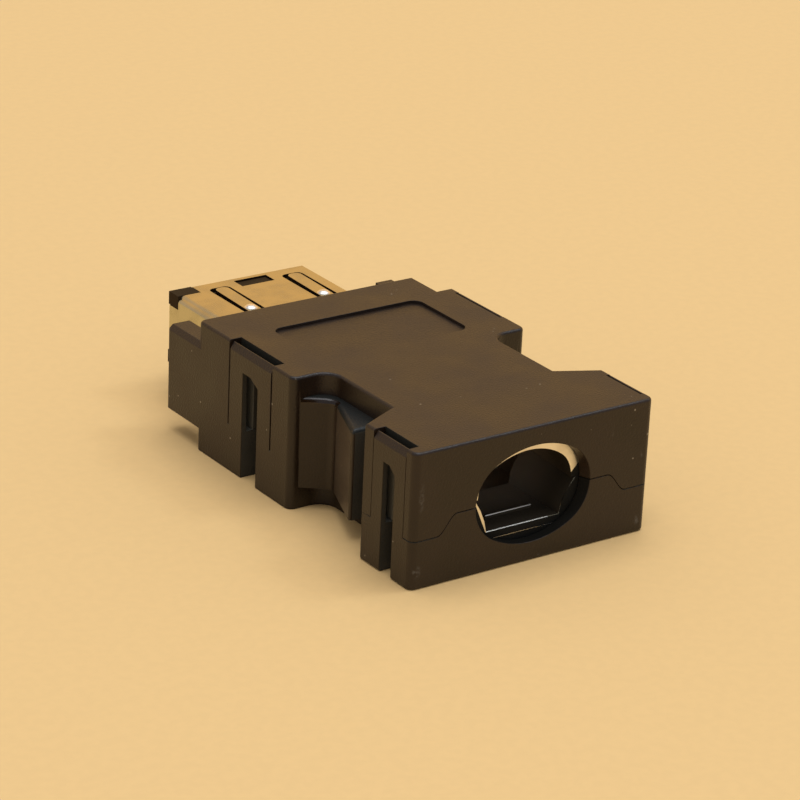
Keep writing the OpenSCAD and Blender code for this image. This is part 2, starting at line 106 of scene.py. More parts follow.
class Graph:
    """A node tree that is filled from left to right."""

    # Places of a colour Mix node's sockets
    MIX_SHARE = 0
    MIX_COLOURS = (6, 7)
    MIX_RESULT = 2

    def __init__(self, tree: bpy.types.NodeTree) -> None:
        """Empties the tree.

        Args:
            tree: the node tree of a material or world.
        """
        self.tree = tree
        tree.nodes.clear()

    def add(self, kind: str, **settings: object) -> bpy.types.Node:
        """Adds one node.

        Args:
            kind: the node's type name.
            settings: properties to set on it.

        Returns:
            The new node.
        """
        node = self.tree.nodes.new(kind)
        for name, value in settings.items():
            setattr(node, name, value)
        return node

    def feed(self, target: Socket, value: "Socket | float | Colour") -> None:
        """Links a socket into the target, or writes a plain value on it.

        Args:
            target: the input socket.
            value: an output socket, a number or a colour.
        """
        if isinstance(value, bpy.types.NodeSocket):
            self.tree.links.new(value, target)
        elif isinstance(value, tuple) and len(target.default_value) == 4:
            target.default_value = (*value, 1.0)
        else:
            target.default_value = value

    def place(self, stretch: Point = (1.0, 1.0, 1.0), centre: Point = (0.0, 0.0, 0.0)) -> Socket:
        """Gives the Object coordinates.

        Args:
            stretch: factors on the three axes, applied after the centre is taken off.
            centre: the point that becomes the origin, in metres.

        Returns:
            The vector socket.
        """
        node = self.add("ShaderNodeTexCoord")
        moved = self.add("ShaderNodeMapping", vector_type="POINT")
        self.feed(moved.inputs["Vector"], node.outputs["Object"])
        moved.inputs["Scale"].default_value = stretch
        moved.inputs["Location"].default_value = [-c * s for c, s in zip(centre, stretch)]
        return moved.outputs["Vector"]

    def noise(self, place: Socket, size: float, detail: float) -> Socket:
        """Adds a noise pattern.

        Args:
            place: the coordinates.
            size: the width of its spots, in metres.
            detail: octaves of finer detail.

        Returns:
            The pattern from 0 to 1.
        """
        node = self.add("ShaderNodeTexNoise")
        self.feed(node.inputs["Vector"], place)
        node.inputs["Scale"].default_value = 1.0 / size
        node.inputs["Detail"].default_value = detail
        return node.outputs["Fac"]

    def span(self, value: Socket, start: float, end: float, low: float = 0.0, high: float = 1.0) -> Socket:
        """Maps a value smoothly from one range to another.

        Args:
            value: the value to map.
            start: the value that gives low.
            end: the value that gives high.
            low: the first result.
            high: the last result.

        Returns:
            The mapped value.
        """
        node = self.add("ShaderNodeMapRange", interpolation_type="SMOOTHSTEP")
        self.feed(node.inputs["Value"], value)
        for name, number in zip(("From Min", "From Max", "To Min", "To Max"), (start, end, low, high)):
            node.inputs[name].default_value = number
        return node.outputs["Result"]

    def calc(self, operation: str, first: "Socket | float", second: "Socket | float") -> Socket:
        """Adds a Math node.

        Args:
            operation: the operation's name.
            first: the first operand.
            second: the second operand.

        Returns:
            The result.
        """
        node = self.add("ShaderNodeMath", operation=operation)
        self.feed(node.inputs[0], first)
        self.feed(node.inputs[1], second)
        return node.outputs["Value"]

    def mix(self, share: Socket, first: "Socket | Colour", second: "Socket | Colour") -> Socket:
        """Mixes two colours.

        Args:
            share: how much of the second colour shows.
            first: the colour at 0.
            second: the colour at 1.

        Returns:
            The mixed colour.
        """
        node = self.add("ShaderNodeMix", data_type="RGBA")
        self.feed(node.inputs[self.MIX_SHARE], share)
        for place, colour in zip(self.MIX_COLOURS, (first, second)):
            self.feed(node.inputs[place], colour)
        return node.outputs[self.MIX_RESULT]

    def bump(self, height: Socket, depth: float) -> Socket:
        """Turns a height pattern into a normal.

        Args:
            height: the pattern from 0 to 1.
            depth: its depth in metres.

        Returns:
            The normal.
        """
        node = self.add("ShaderNodeBump")
        node.inputs["Strength"].default_value = 1.0
        node.inputs["Distance"].default_value = depth
        self.feed(node.inputs["Height"], height)
        return node.outputs["Normal"]


@dataclass(frozen=True)
class Finish:
    """A finish with a Principled shader, whose inputs each kind of finish draws in its own way."""

    # The part of a noise pattern that most of its points lie in
    COMMON = (0.3, 0.7)

    name: str

    def draw(self, graph: Graph) -> Inputs:
        """Draws the shader's inputs."""
        raise NotImplementedError

    def material(self) -> bpy.types.Material:
        """Builds the procedural material.

        Returns:
            The material.
        """
        material = bpy.data.materials.new(self.name)
        material.use_nodes = True
        graph = Graph(material.node_tree)
        shader = graph.add("ShaderNodeBsdfPrincipled")
        output = graph.add("ShaderNodeOutputMaterial")
        graph.feed(output.inputs["Surface"], shader.outputs["BSDF"])
        for name, value in self.draw(graph).items():
            graph.feed(shader.inputs[name], value)
        return material


@dataclass(frozen=True)
class Scuff:
    """A pale rubbed spot. Its place and size are in mm."""

    place: Point
    size: Point
    strength: float


@dataclass(frozen=True)
class MouldedPlastic(Finish):
    """Black moulded plastic with a fine grain, specks of dust and rubbed spots. Lengths are in metres."""

    base: Colour = (0.0120, 0.0055, 0.0020)
    tint: Colour = (0.0180, 0.0085, 0.0035)
    dust: Colour = (0.24, 0.20, 0.15)
    rubbed: Colour = (0.085, 0.075, 0.065)
    smooth: float = 0.34
    rough: float = 0.46
    rub_rough: float = 0.2
    gloss: float = 0.45
    cloud: float = 4.0 * MM
    cloud_span: Span = (0.35, 0.65)
    cloud_share: float = 0.7
    grain: float = 0.16 * MM
    depth: float = 0.03 * MM
    dusty: float = 1.0
    speck_gap: float = 1.3 * MM
    speck_span: Span = (0.08, 0.04)
    dust_patch: float = 2.3 * MM
    dust_span: Span = (0.53, 0.62)
    streak: float = 0.35 * MM
    streak_span: Span = (0.42, 0.62)
    rub_span: Span = (1.0, 0.2)
    scuffs: tuple[Scuff, ...] = ()

    def rubs(self, graph: Graph) -> "Socket | float":
        """Draws the rubbed spots.

        Args:
            graph: the material's graph.

        Returns:
            How much each point is rubbed.
        """
        total: "Socket | float" = 0.0
        streak = graph.span(graph.noise(graph.place(), self.streak, detail=4.0), *self.streak_span)
        for scuff in self.scuffs:
            x, y, z = scuff.place
            centre = tuple(c * MM for c in (x, y - HALF_LENGTH, z))
            stretch = tuple(1.0 / (s * MM) for s in scuff.size)
            length = graph.add("ShaderNodeVectorMath", operation="LENGTH")
            graph.feed(length.inputs[0], graph.place(stretch, centre))
            spot = graph.span(length.outputs["Value"], *self.rub_span, 0.0, scuff.strength)
            total = graph.calc("ADD", total, graph.calc("MULTIPLY", spot, streak))
        return total

    def draw(self, graph: Graph) -> Inputs:
        """Draws the plastic.

        Args:
            graph: the material's graph.

        Returns:
            The shader's inputs.
        """
        place = graph.place()
        cloud = graph.noise(place, self.cloud, detail=3.0)
        grain = graph.noise(place, self.grain, detail=3.0)
        colour = graph.mix(graph.span(cloud, *self.cloud_span), self.base, self.tint)
        spots = graph.add("ShaderNodeTexVoronoi", feature="F1")
        graph.feed(spots.inputs["Vector"], place)
        graph.feed(spots.inputs["Scale"], 1.0 / self.speck_gap)
        specks = graph.span(spots.outputs["Distance"], *self.speck_span, 0.0, self.dusty)
        patch = graph.span(graph.noise(place, self.dust_patch, detail=1.0), *self.dust_span)
        colour = graph.mix(graph.calc("MULTIPLY", specks, patch), colour, self.dust)
        fine = graph.calc("MULTIPLY", grain, 1.0 - self.cloud_share)
        patchy = graph.calc("ADD", graph.calc("MULTIPLY", cloud, self.cloud_share), fine)
        polish = graph.span(patchy, *self.COMMON, self.smooth, self.rough)
        if self.scuffs:
            rubs = self.rubs(graph)
            colour = graph.mix(rubs, colour, self.rubbed)
            polish = graph.calc("ADD", polish, graph.calc("MULTIPLY", rubs, self.rub_rough))
        return {
            "Base Color": colour,
            "Roughness": polish,
            "Specular IOR Level": self.gloss,
            "Normal": graph.bump(grain, self.depth),
        }


@dataclass(frozen=True)
class FadedBlack(Finish):
    """Dull black that pales along one axis. The fade is in mm, the grain and its depth in metres."""

    dark: Colour
    pale: Colour
    fade: Span
    axis: Axis
    gloss: float = 0.1
    smooth: float = 0.5
    rough: float = 0.65
    grain: float = 0.2 * MM
    depth: float = 0.003 * MM

    def draw(self, graph: Graph) -> Inputs:
        """Draws the fading black.

        Args:
            graph: the material's graph.

        Returns:
            The shader's inputs.
        """
        place = graph.place()
        parts = graph.add("ShaderNodeSeparateXYZ")
        graph.feed(parts.inputs["Vector"], place)
        origin = HALF_LENGTH if self.axis is Axis.Y else 0.0
        start, end = ((c - origin) * MM for c in self.fade)
        share = graph.span(parts.outputs[self.axis.value], start, end)
        grain = graph.noise(place, self.grain, detail=3.0)
        return {
            "Base Color": graph.mix(share, self.dark, self.pale),
            "Roughness": graph.span(grain, *self.COMMON, self.smooth, self.rough),
            "Specular IOR Level": self.gloss,
            "Normal": graph.bump(grain, self.depth),
        }


@dataclass(frozen=True)
class PlatedSheet(Finish):
    """Plated sheet metal with faint rolling lines along Y and a cloudy stain. Lengths are in metres."""

    base: Colour
    stain: Colour
    smooth: float = 0.16
    rough: float = 0.30
    line: float = 0.05 * MM
    line_stretch: Point = (1.0, 0.04, 1.0)
    depth: float = 0.0012 * MM
    cloud: float = 1.6 * MM
    cloud_span: Span = (0.4, 0.7)
    cloud_share: float = 0.6

    def draw(self, graph: Graph) -> Inputs:
        """Draws the metal.

        Args:
            graph: the material's graph.

        Returns:
            The shader's inputs.
        """
        lines = graph.noise(graph.place(self.line_stretch), self.line, detail=2.0)
        cloud = graph.noise(graph.place(), self.cloud, detail=3.0)
        fine = graph.calc("MULTIPLY", lines, 1.0 - self.cloud_share)
        patchy = graph.calc("ADD", graph.calc("MULTIPLY", cloud, self.cloud_share), fine)
        return {
            "Base Color": graph.mix(graph.span(cloud, *self.cloud_span), self.base, self.stain),
            "Metallic": 1.0,
            "Roughness": graph.span(patchy, *self.COMMON, self.smooth, self.rough),
            "Normal": graph.bump(lines, self.depth),
        }


@dataclass
class Solid:
    """A copy of one CAD solid with broken edges. Its angles are in degrees."""

    node: str
    slot: Slot
    name: str
    edge_break: float = 0.05
    steps: int = 2
    sharp: float = 28.0
    crease: float = 50.0
    flat: float = 0.5
    doubles: float = 0.0005
    thin: float = 0.0002
    hairline: float = 1e-5
    face_weight: int = 80
    headroom: float = 0.0
    axis_z: float = 5.6
    # The copy on the bench, in mm, while the piece is being made
    mesh: bmesh.types.BMesh = field(init=False, repr=False)

    def bench(self) -> Matrix:
        """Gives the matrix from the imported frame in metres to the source's own frame in mm."""
        return Matrix.Translation((0.0, HALF_LENGTH, 0.0)) @ Matrix.Scale(1.0 / MM, 4)

    def copy(self, frame: dict) -> None:
        """Copies the CAD mesh to the bench, merges its doubles and joins its flat triangles.

        Args:
            frame: the loaded frame.
        """
        mesh = bmesh.new()
        mesh.from_mesh(frame["nodes"][self.node].data)
        bmesh.ops.transform(mesh, matrix=self.bench(), verts=mesh.verts)
        bmesh.ops.remove_doubles(mesh, verts=mesh.verts, dist=self.doubles)
        limit = math.radians(self.flat)
        bmesh.ops.dissolve_limit(mesh, angle_limit=limit, verts=mesh.verts, edges=mesh.edges)
        self.mesh = mesh

    def is_sharp(self, edge: Edge) -> bool:
        """Tells whether an edge is an outward sharp one."""
        paired = len(edge.link_faces) == 2 and edge.is_convex
        return paired and edge.calc_face_angle() > math.radians(self.sharp)

    def sharp_edges(self) -> list[Edge]:
        """Finds the outward sharp edges, in mesh order."""
        return [edge for edge in self.mesh.edges if self.is_sharp(edge)]

    def cut(self, faces: list[Face], plane: Plane) -> None:
        """Cuts faces along a plane and keeps both parts.

        Args:
            faces: the faces to cut.
            plane: where to cut them.
        """
        point, way = plane
        parts = dict.fromkeys(item for face in faces for item in (face, *face.edges, *face.verts))
        bmesh.ops.bisect_plane(self.mesh, geom=list(parts), dist=self.hairline, plane_co=point, plane_no=way)

    def round_off(self, edges: list[Edge], width: float, steps: int) -> None:
        """Rounds some edges.

        Args:
            edges: the edges to round.
            width: the width that the round takes from each face.
            steps: flats across the round.
        """
        bmesh.ops.bevel(self.mesh, geom=edges, offset=width, offset_type="OFFSET", segments=steps,
                        profile=0.5, affect="EDGES", clamp_overlap=False, loop_slide=False, material=-1)

    def shape(self) -> None:
        """Breaks all sharp edges. Pieces with forms of their own make them first."""
        self.round_off(self.sharp_edges(), self.edge_break, self.steps)

    def dress(self) -> None:
        """Hands further finishes to faces. A plain piece has only one."""

    def smooth_off(self) -> None:
        """Shades the faces smoothly, but for the edges that are bent further than a crease."""
        for face in self.mesh.faces:
            face.smooth = True
        limit = math.radians(self.crease)
        for edge in self.mesh.edges:
            edge.smooth = len(edge.link_faces) == 2 and edge.calc_face_angle() < limit

    def even_normals(self, piece: bpy.types.Object) -> None:
        """Lets the larger faces lead the shading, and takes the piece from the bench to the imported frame.

        Args:
            piece: the piece, whose mesh is still in mm.
        """
        even = piece.modifiers.new("even_normals", "WEIGHTED_NORMAL")
        even.weight = self.face_weight
        even.keep_sharp = True
        graph = bpy.context.evaluated_depsgraph_get()
        bench = piece.data
        piece.data = bpy.data.meshes.new_from_object(piece.evaluated_get(graph), depsgraph=graph)
        piece.modifiers.clear()
        piece.data.transform(self.bench().inverted())
        piece.data.name = self.name
        bpy.data.meshes.remove(bench)

    def build(self, frame: dict, *finishes: bpy.types.Material) -> None:
        """Makes the piece, which stands for its CAD node and stays inside its box.

        Args:
            frame: the loaded frame.
            finishes: its main finish, and those that dress() hands out by number.
        """
        self.copy(frame)
        mesh = self.mesh
        low = [min(vert.co[axis] for vert in mesh.verts) for axis in range(3)]
        high = [max(vert.co[axis] for vert in mesh.verts) for axis in range(3)]
        high[2] += self.headroom
        self.shape()
        for vert in mesh.verts:
            vert.co = [min(max(c, least), most) for c, least, most in zip(vert.co, low, high)]
        bmesh.ops.dissolve_degenerate(mesh, edges=mesh.edges, dist=self.thin)
        mesh.normal_update()
        self.dress()
        self.smooth_off()
        data = bpy.data.meshes.new(f"{self.name}_bench")
        mesh.to_mesh(data)
        mesh.free()
        for finish in finishes:
            data.materials.append(finish)
        piece = bpy.data.objects.new(self.name, data)
        bpy.context.scene.collection.objects.link(piece)
        self.even_normals(piece)
        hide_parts(self.node)
        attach(piece, BODY)
        LOG.info("%s: %d faces", self.name, len(piece.data.polygons))


@dataclass(frozen=True)
class Box:
    """A box that stands on both sides, because X is taken without its sign."""

    low: Point
    high: Point
    whole: bool = True

    def holds(self, point: Vector) -> bool:
        """Tells whether a point lies in the box or on its faces."""
        spot = (abs(point.x), point.y, point.z)
        return all(least - NEAR <= c <= most + NEAR for least, c, most in zip(self.low, spot, self.high))

    def takes(self, edge: Edge) -> bool:
        """Tells whether an edge lies in the box, or only starts in it where whole is off."""
        inside = [self.holds(vert.co) for vert in edge.verts]
        return all(inside) if self.whole else any(inside)


@dataclass(frozen=True)
class Round:
    """A round on the sharp edges in some boxes."""

    boxes: tuple[Box, ...]
    width: float
    steps: int = 3

    def takes(self, edge: Edge) -> bool:
        """Tells whether an edge gets the round."""
        return any(box.takes(edge) for box in self.boxes)


@dataclass(frozen=True)
class Zone:
    """Boxes whose faces have a finish of their own."""

    finish: Finish
    boxes: tuple[Box, ...]

    def takes(self, face: Face) -> bool:
        """Tells whether a face has its middle in one of the boxes."""
        middle = face.calc_center_median()
        return any(box.holds(middle) for box in self.boxes)


@dataclass
class Cover(Solid):
    """A moulded cover: wide rounds where the mould has them, hardly any along the seam."""

    rounds: tuple[Round, ...] = ()
    crisp: tuple[Box, ...] = ()
    zones: tuple[Zone, ...] = ()
    upright: float = 0.9
    facing_down: float = -0.5
    seam_z: Span = (1.7, 5.7)
    seam_break: float = 0.025
    seam_steps: int = 1
    tight_x: float = 9.5
    tight_y: float = 6.2
    tight_drop: float = 0.0
    rear_wall: float = 0.9
    hole_half: Span = (5.4, 4.0)
    hole_in: float = 0.4
    arm_x: float = 10.75
    arm_reach: float = 0.2
    arm_top: Span = (10.8, 11.1)
    arm_break: float = 0.06
    arm_steps: int = 3
    slit_x: float = 10.7
    slit_y: Span = (1.3, 5.3)
    slit_close: float = 0.11
    pocket_x: Span = (10.05, 10.2)
    near_edge: float = 10.72
    near_arm: Span = (0.2, 0.1)
    label_x: float = 7.2
    label_rear: Span = (19.5, 20.6)
    label_low: float = 10.9
    label_grow: float = 0.9

    def along_seam(self, edge: Edge) -> bool:
        """Tells whether an edge lies at the height of the covers' seam and isn't upright."""
        run = edge.verts[1].co - edge.verts[0].co
        low, high = self.seam_z
        return abs(run.z) <= self.upright * run.length and all(low < v.co.z < high for v in edge.verts)

    def is_crisp(self, edge: Edge) -> bool:
        """Tells whether an edge stays crisp."""
        return any(box.takes(edge) for box in self.crisp)

    def at_side(self, point: Vector) -> bool:
        """Tells whether a point lies at the sides, where the covers close tightly."""
        return abs(point.x) > self.tight_x and point.y > self.tight_y

    def is_tight(self, edge: Edge) -> bool:
        """Tells whether an edge lies on the sides' seam."""
        return self.along_seam(edge) and all(self.at_side(vert.co) for vert in edge.verts)

    def is_arm_top(self, point: Vector) -> bool:
        """Tells whether a point lies on the inner top edge of a snap arm."""
        return abs(abs(point.x) - self.arm_x) < NEAR and self.arm_top[0] < point.z < self.arm_top[1]

    def close_seam(self) -> None:
        """Lowers the seam's upper face along the sides."""
        low, high = self.seam_z
        down = [face for face in self.mesh.faces if face.normal.z < self.facing_down]
        seam = [face for face in down if low < face.calc_center_median().z < high]
        for vert in {vert for face in seam for vert in face.verts}:
            if self.at_side(vert.co):
                vert.co.z -= self.tight_drop

    def narrow_hole(self) -> None:
        """Draws the cable hole's inner edge in on the right."""
        half_w, half_h = self.hole_half
        for vert in self.mesh.verts:
            spot = vert.co
            around = 0.0 < spot.x < half_w + NEAR and abs(spot.z - self.axis_z) < half_h + NEAR
            if around and abs(spot.y - self.rear_wall) < NEAR:
                spot.x -= self.hole_in * (spot.x / half_w) ** 2

    def close_arms(self) -> None:
        """Closes the slits of the rear arms, and brings the right-hand arms close to their notches' edges."""
        out, up = self.near_arm
        for vert in self.mesh.verts:
            spot = vert.co
            if abs(spot.x) > self.slit_x:
                for y, way in zip(self.slit_y, (-1.0, 1.0)):
                    if abs(spot.y - y) < NEAR:
                        spot.y += way * self.slit_close
            on_arm = self.arm_x - NEAR < spot.x < self.arm_x + self.arm_reach
            if on_arm and self.arm_top[0] < spot.z < self.arm_top[1]:
                spot.x += out
                spot.z += up
            elif self.pocket_x[0] < spot.x < self.pocket_x[1] and spot.z > self.arm_top[1]:
                spot.x = self.near_edge

    def lengthen_label(self) -> None:
        """Draws the label recess out to the rear."""
        for vert in self.mesh.verts:
            spot = vert.co
            at_rear = self.label_rear[0] < spot.y < self.label_rear[1]
            if at_rear and abs(spot.x) < self.label_x and spot.z > self.label_low:
                spot.y -= self.label_grow

    def shape(self) -> None:
        """Settles the openings, rounds the arms' tops, makes the wide rounds and breaks the other edges.

        The crisp edges and the seam's come last, and the seam along the sides stays sharp.
        """
        self.close_seam()
        self.narrow_hole()
        tops = {vert for vert in self.mesh.verts if self.is_arm_top(vert.co)}
        self.close_arms()
        self.lengthen_label()
        edges = [edge for edge in self.sharp_edges() if all(vert in tops for vert in edge.verts)]
        self.round_off(edges, self.arm_break, self.arm_steps)
        for item in self.rounds:
            edges = [edge for edge in self.sharp_edges() if item.takes(edge) and not self.is_crisp(edge)]
            self.round_off(edges, item.width, item.steps)
        edges = [e for e in self.sharp_edges() if not self.along_seam(e) and not self.is_crisp(e)]
        self.round_off(edges, self.edge_break, self.steps)
        edges = [e for e in self.sharp_edges() if self.along_seam(e) or self.is_crisp(e)]
        self.round_off([e for e in edges if not self.is_tight(e)], self.seam_break, self.seam_steps)

    def dress(self) -> None:
        """Gives each face the finish of the first zone that takes it, and the rest the main one."""
        for face in self.mesh.faces:
            found = (number for number, zone in enumerate(self.zones, 1) if zone.takes(face))
            face.material_index = next(found, 0)


@dataclass
class Shield(Solid):
    """A stamped shield, lined inside with painted shade. Parts of its end plate carry a painted glint, and
    the rest of the plate painted shade.
    """

    # Numbers of the finishes: the sheet outside, painted shade inside, painted glints and painted shade on
    # the end plate
    OUTSIDE, FILM, BRIGHT, PLATE = range(4)

    sheet: float = 0.3
    plate_y: float = 1.0
    plate_depth: float = 0.1
    plate_facing: float = -0.9
    trough_top: float = 4.7

    def is_plate(self, face: Face) -> bool:
        """Tells whether a face is the rear of the end plate."""
        rear = face.calc_center_median().y < self.plate_y + self.plate_depth
        return rear and face.normal.y < self.plate_facing

    def is_outside(self, face: Face) -> bool:
        """Tells whether a face looks away from the cable."""
        middle = face.calc_center_median()
        return face.normal.dot(Vector((-middle.x, 0.0, self.axis_z - middle.z))) < 0.0

    def is_bright(self, face: Face) -> bool:
        """Tells whether a face carries a painted glint. Each half has its own."""
        raise NotImplementedError

    def bright_lines(self) -> list[Plane]:
        """Gives a plane for each line that bounds a painted glint on the end plate."""
        raise NotImplementedError

    def dress(self) -> None:
        """Cuts the end plate along its painted glints and gives each face its finish."""
        for plane in self.bright_lines():
            self.cut([face for face in self.mesh.faces if self.is_plate(face)], plane)
        for face in self.mesh.faces:
            if self.is_bright(face):
                face.material_index = self.BRIGHT
            elif self.is_plate(face):
                face.material_index = self.PLATE
            else:
                face.material_index = self.OUTSIDE if self.is_outside(face) else self.FILM


@dataclass
class UpperShield(Shield):
    """The upper shield, whose end plate is arched over the cable."""

    arch_h: float = 3.2
    rim_left: float = -0.5
    rim_top: float = 3.25
    rim_in: Span = (0.2, 0.4)
    rim_fade: float = 0.6
    tip: Point = (4.35, 1.0, 6.15)
    tip_way: Point = (-0.735, 0.0, 0.678)

    def shape(self) -> None:
        """Draws the arch's rim in and breaks all sharp edges."""
        left, right = self.rim_in
        for vert in self.mesh.verts:
            spot = vert.co
            rim = abs(spot.y - self.plate_y) < NEAR and abs(spot.x) < self.trough_top + NEAR
            if not rim or spot.z >= self.axis_z + self.rim_top:
                continue
            if spot.x < self.rim_left:
                spot.x += left * (1.0 - self.rim_fade * ((spot.z - self.axis_z) / self.arch_h) ** 2)
            elif spot.x > 0.0:
                spot.x -= right * (spot.x / self.trough_top) ** 2
        super().shape()

    def bright_lines(self) -> list[Plane]:
        """Gives the line where the arch's painted glint ends on the right; beyond it lies painted shade."""
        return [(Vector(self.tip), Vector(self.tip_way))]

    def is_bright(self, face: Face) -> bool:
        """Tells whether a face is on the arch's painted glint."""
        away = face.calc_center_median() - Vector(self.tip)
        return self.is_plate(face) and away.dot(Vector(self.tip_way)) > 0.0


@dataclass
class LowerShield(Shield):
    """The lower shield with the cable trough, whose rear rim and ridge carry painted glints as pale lines."""

    throat_end: float = 7.5
    cad_floor: float = 3.2
    cad_h: float = 2.6
    trough_floor: Span = (3.5, 3.3)
    trough_h: float = 2.8
    bow: Span = (0.2, 0.4)
    bow_cuts: int = 2
    bend: float = 0.09
    bend_steps: int = 3
    bend_facing: Span = (-0.95, -0.1)
    rim_gap: float = 0.05
    bright_end: float = 2.3
    strips: Span = (0.12, 0.03)
    cad_lip: float = 2.1
    lip_end: float = 1.45
    lip_x: Span = (-2.9, 3.2)
    lip_z: Span = (2.125, 2.16)
    ridge_y: Span = (2.9, 3.4)
    ridge_top: float = 2.95

    def on_ridge(self, point: Vector) -> bool:
        """Tells whether a point lies on the ridge across the trough."""
        return self.ridge_y[0] < point.y < self.ridge_y[1] and point.z > self.ridge_top

    def is_rim(self, edge: Edge) -> bool:
        """Tells whether an edge gets the wide bend.

        Args:
            edge: a sharp edge.

        Returns:
            True on the trough's rear rim and on the ridge's rear edge.
        """
        ends = [vert.co for vert in edge.verts]
        low, high = sorted(point.z for point in ends)
        floor = self.axis_z - self.trough_h
        level = floor - NEAR <= low <= self.axis_z - self.rim_gap and high <= self.axis_z + NEAR
        inside = all(abs(point.x) < self.trough_top + NEAR for point in ends)
        rear = all(abs(point.y - self.plate_y) < NEAR for point in ends)
        return level and inside and (rear or all(self.on_ridge(point) for point in ends))

    def slice_trough(self) -> None:
        """Cuts the trough level where its walls will bow, and across where the painted glints end."""
        floor = self.axis_z - self.cad_h
        for number in range(1, self.bow_cuts + 1):
            level = floor + number / (self.bow_cuts + 1) * self.cad_h
            self.cut(list(self.mesh.faces), (Vector((0.0, 0.0, level)), Vector((0.0, 0.0, 1.0))))
        self.cut(list(self.mesh.faces), (Vector((self.bright_end, 0.0, 0.0)), Vector((1.0, 0.0, 0.0))))

    def sag(self) -> None:
        """Deepens the trough, bows its walls inwards and draws the lip down behind the hole's edge."""
        floor = self.axis_z - self.cad_h
        for vert in self.mesh.verts:
            spot = vert.co
            if abs(spot.z - self.cad_lip) < NEAR and spot.y < self.plate_y + self.sheet + NEAR:
                spot.z = self.lip_end
            across = abs(spot.x) < self.trough_top + self.sheet + NEAR
            upright = floor - self.sheet - NEAR < spot.z < self.axis_z
            if across and upright and spot.y < self.throat_end + NEAR:
                share = max(0.0, (spot.z - floor) / self.cad_h)
                side = int(spot.x > 0.0)
                if abs(spot.x) > self.cad_floor - self.sheet:
                    wider = (self.trough_floor[side] - self.cad_floor) * (1.0 - share)
                    # The bow is a parabola, highest halfway up the wall
                    bowed = wider - 4.0 * self.bow[side] * share * (1.0 - share)
                    spot.x += bowed if side else -bowed
                spot.z -= (self.trough_h - self.cad_h) * (1.0 - share)

    def shape(self) -> None:
        """Sags the trough, bends its rim wide and breaks all other edges."""
        self.slice_trough()
        self.sag()
        rim = [edge for edge in self.sharp_edges() if self.is_rim(edge)]
        self.round_off(rim, self.bend, self.bend_steps)
        super().shape()

    def strip_lines(self) -> list[Plane]:
        """Gives the outer lines of the painted glint strips along the trough's left wall and floor.

        Returns:
            Planes whose normals point away from the cable.
        """
        left, floor = self.strips
        out = Vector((-self.trough_h, 0.0, self.trough_floor[0] - self.trough_top)).normalized()
        return [
            (Vector((-self.trough_top, 0.0, self.axis_z)) + out * left, out),
            (Vector((0.0, 0.0, self.axis_z - self.trough_h - floor)), Vector((0.0, 0.0, -1.0))),
        ]

    def bright_lines(self) -> list[Plane]:
        """Gives the lines that bound the painted glint strips and the painted glint line on the lip.

        Returns:
            The planes through them.
        """
        lines = self.strip_lines()
        lines.extend((Vector((0.0, 0.0, z)), Vector((0.0, 0.0, 1.0))) for z in self.lip_z)
        lines.extend((Vector((x, 0.0, 0.0)), Vector((1.0, 0.0, 0.0))) for x in self.lip_x)
        return lines

    def is_bright(self, face: Face) -> bool:
        """Tells whether a face carries a painted glint.

        Args:
            face: a face on the bench.

        Returns:
            True on the bends, on the ridge's rear edge and on the painted glints of the end plate.
        """
        middle = face.calc_center_median()
        if self.is_plate(face):
            strip = all((middle - point).dot(out) < 0.0 for point, out in self.strip_lines())
            lip = self.lip_z[0] < middle.z < self.lip_z[1] and self.lip_x[0] < middle.x < self.lip_x[1]
            return lip or strip and middle.x < self.bright_end
        in_trough = -self.trough_top <= middle.x < self.bright_end and middle.z <= self.axis_z - NEAR
        floor = self.axis_z - self.trough_h
        bend = middle.y < self.plate_y + self.bend and middle.z > floor - self.rim_gap
        slanted = self.bend_facing[0] < face.normal.y < self.bend_facing[1]
        return in_trough and slanted and (bend or self.on_ridge(middle))


@dataclass
class PlugShell(Solid):
    """The plug's stamped shell. Its fingers spring out; the cut walls of its slits carry painted shade and
    its dimples a painted glint.
    """

    # Numbers of the finishes: the sheet, painted shade on the cut walls and a painted glint on the dimples
    SHEET, CUT_WALL, DIMPLE = range(3)

    sheet: float = 0.3
    half_h: float = 3.2
    axis_x: float = 1.0
    front_y: float = 42.55
    front_margin: float = 0.3
    finger_x: float = 3.615
    finger_half: float = 0.66
    finger_y: Span = (33.85, 41.1)
    finger_lift: float = 0.13
    dimple_y: float = 36.15
    dimple_r: float = 0.56
    slit_reach: float = 1.2
    level: float = 0.9

    def shape(self) -> None:
        """Bends the fingers' outer faces outwards towards their tips and breaks all sharp edges."""
        root, end = self.finger_y
        self.cut(list(self.mesh.faces), (Vector((0.0, root, 0.0)), Vector((0.0, 1.0, 0.0))))
        for vert in self.mesh.verts:
            side = vert.co.z - self.axis_z
            across = abs(abs(vert.co.x - self.axis_x) - self.finger_x)
            if across < self.finger_half and root < vert.co.y < end and abs(side) > self.half_h - NEAR:
                vert.co.z += math.copysign(self.finger_lift * (vert.co.y - root) / (end - root), side)
        super().shape()

    def finish_of(self, face: Face) -> int:
        """Finds the number of a face's finish.

        Args:
            face: a face on the bench.

        Returns:
            The number of the dimples' painted glint, the cut walls' painted shade or the sheet's finish.
        """
        middle = face.calc_center_median()
        height = abs(middle.z - self.axis_z)
        across = abs(middle.x - self.axis_x)
        away = math.hypot(across - self.finger_x, middle.y - self.dimple_y)
        if away < self.dimple_r and height > self.half_h:
            return self.DIMPLE
        inner = across < self.finger_x + self.slit_reach and middle.y < self.front_y - self.front_margin
        wall = abs(face.normal.z) < self.level and height > self.half_h - self.sheet
        return self.CUT_WALL if inner and wall else self.SHEET

    def dress(self) -> None:
        """Gives each face its finish."""
        for face in self.mesh.faces:
            face.material_index = self.finish_of(face)


